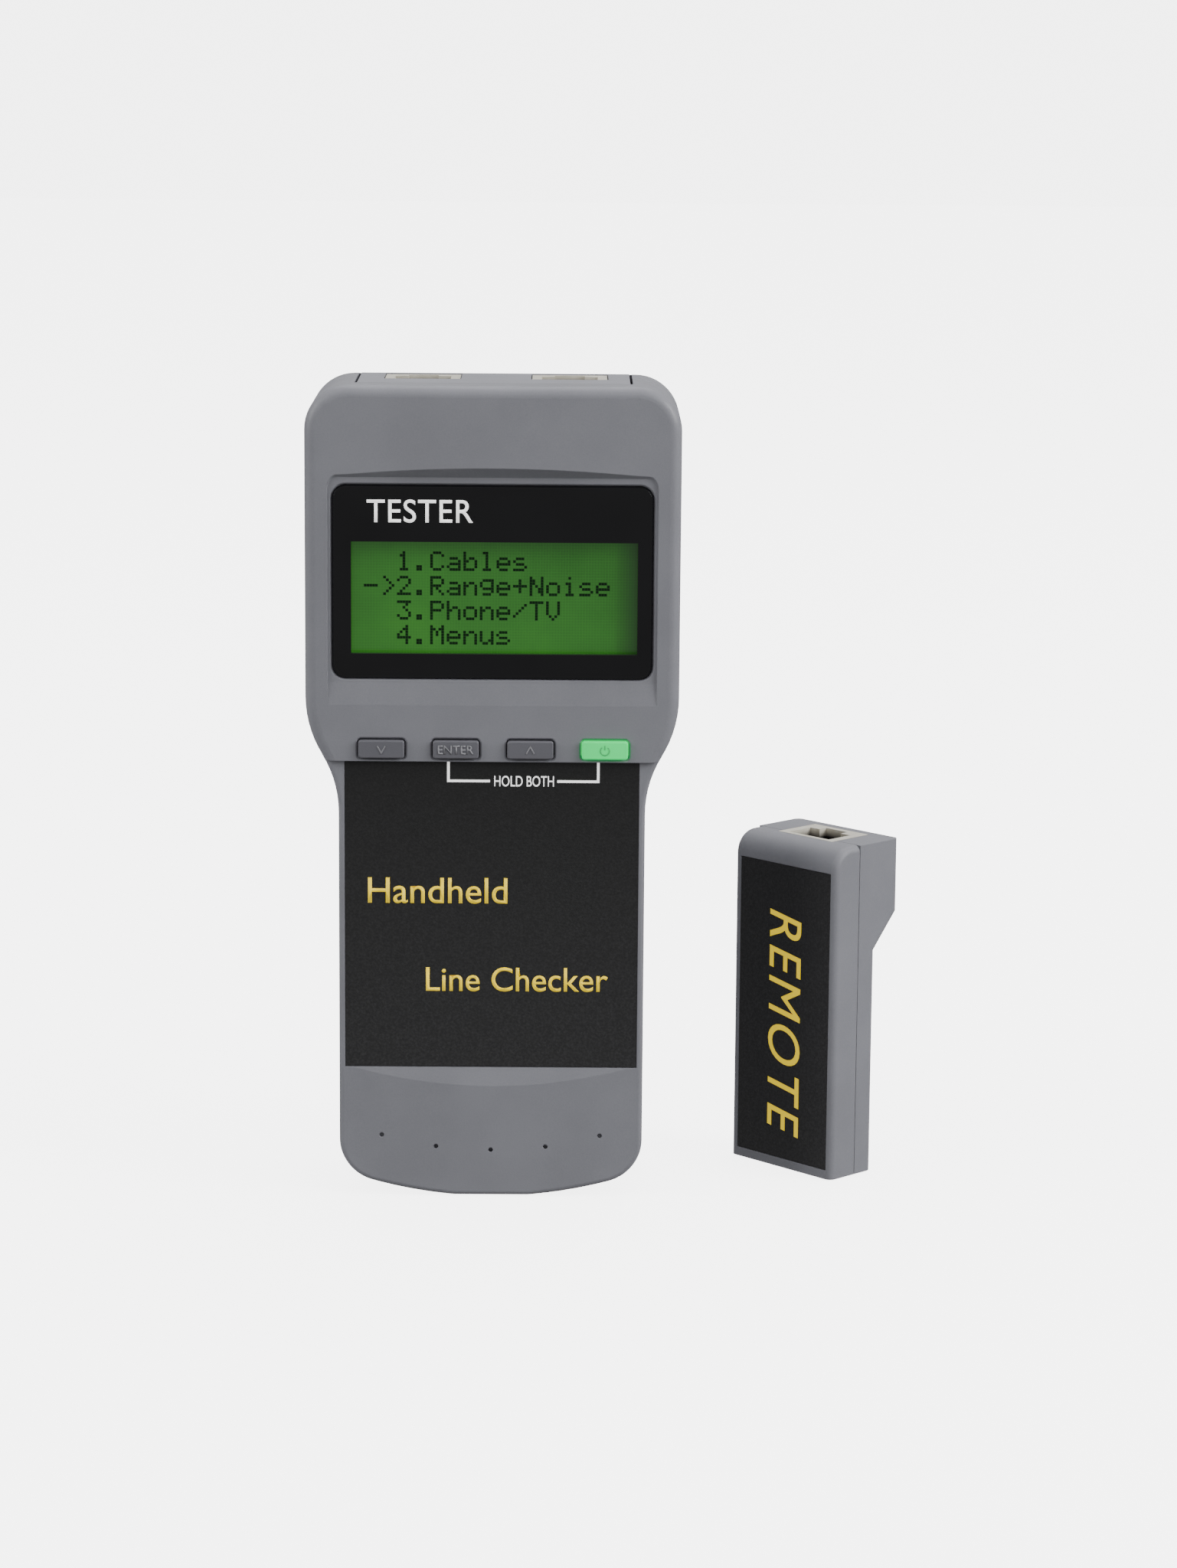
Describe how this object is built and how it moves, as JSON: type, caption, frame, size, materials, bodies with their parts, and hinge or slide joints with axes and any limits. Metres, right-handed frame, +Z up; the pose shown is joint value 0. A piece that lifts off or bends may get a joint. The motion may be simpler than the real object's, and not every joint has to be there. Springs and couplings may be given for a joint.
{
  "type": "network cable tester",
  "caption": "Handheld network cable tester with backlit text display, push buttons and modular jacks, with its small wire-map remote standing beside it.",
  "frame": {"origin": "middle of the base of the set, where both units stand", "axes": "+Z up the length of the tester; its display faces -Y; +X to the right seen from the front, towards the remote"},
  "size_m": [0.128, 0.0504, 0.1752],
  "materials": {
    "shell_grey": "fine spark-eroded texture, mid grey",
    "lens_black": "glossy black acrylic",
    "label_black": "fine-grained black film",
    "display_green": "yellow-green backlit display glass",
    "backlight_green": "light guide",
    "steel": "plated steel",
    "board_green": "solder mask",
    "button_grey": "dark grey moulding",
    "button_green": "bright green moulding",
    "component_black": "moulded epoxy",
    "jack_cream": "cream moulding",
    "contact_gold": "gold plated",
    "battery_case": "printed metal jacket",
    "pad_foam": "closed-cell foam",
    "lead_red": "wire insulation",
    "lead_black": "wire insulation",
    "diode_orange": "glass diode"
  },
  "bodies": {
    "main_unit": {"front_shell": "shell_grey", "rear_shell": "shell_grey", "connector_panel": "shell_grey", "display_lens": "lens_black", "handle_label": "label_black", "lcd_bezel": "steel", "lcd_glass": "display_green", "lcd_backlight": "backlight_green", "lcd_board": "board_green", "lcd_header": "component_black", "lcd_spacers": "component_black", "switch_housings": "component_black", "main_board": "board_green", "board_screws": "steel", "microcontroller": "component_black", "microcontroller_leads": "steel", "logic_chips": "component_black", "crystal": "steel", "capacitors": "component_black", "buzzer": "component_black", "main_jack": "jack_cream", "loopback_jack": "jack_cream", "main_contacts": "contact_gold", "loopback_contacts": "contact_gold", "battery": "battery_case", "battery_studs": "steel", "battery_pad": "pad_foam", "battery_snap": "component_black", "battery_lead_red": "lead_red", "battery_lead_black": "lead_black", "case_screws": "steel"},
    "button_down": {"button_down": "button_grey", "plunger_down": "component_black"},
    "button_enter": {"button_enter": "button_grey", "plunger_enter": "component_black"},
    "button_up": {"button_up": "button_grey", "plunger_up": "component_black"},
    "button_power": {"button_power": "button_green", "plunger_power": "component_black"},
    "battery_door": {"battery_door": "shell_grey"},
    "remote_unit": {"remote_front_shell": "shell_grey", "remote_rear_shell": "shell_grey", "remote_label": "label_black", "remote_jack": "jack_cream", "remote_contacts": "contact_gold", "remote_board": "board_green", "remote_diodes": "diode_orange", "remote_screws": "steel"}
  },
  "joints": [
    {"name": "press_down", "type": "slide", "parent": "main_unit", "child": "button_down", "axis": [0, 1, 0], "range_m": [0, 0.0006], "stiffness_N_per_m": 800},
    {"name": "press_enter", "type": "slide", "parent": "main_unit", "child": "button_enter", "axis": [0, 1, 0], "range_m": [0, 0.0006], "stiffness_N_per_m": 800},
    {"name": "press_up", "type": "slide", "parent": "main_unit", "child": "button_up", "axis": [0, 1, 0], "range_m": [0, 0.0006], "stiffness_N_per_m": 800},
    {"name": "press_power", "type": "slide", "parent": "main_unit", "child": "button_power", "axis": [0, 1, 0], "range_m": [0, 0.0006], "stiffness_N_per_m": 800},
    {"name": "open_battery_door", "type": "hinge", "parent": "main_unit", "child": "battery_door", "pos_m": [-0.02437, 0.00852, 0.01725], "axis": [-1, 0, 0], "range_deg": [0, 60]},
    {"name": "lift_remote", "type": "slide", "parent": "main_unit", "child": "remote_unit", "axis": [0, 0, 1], "range_m": [0, 0.1]}
  ]
}
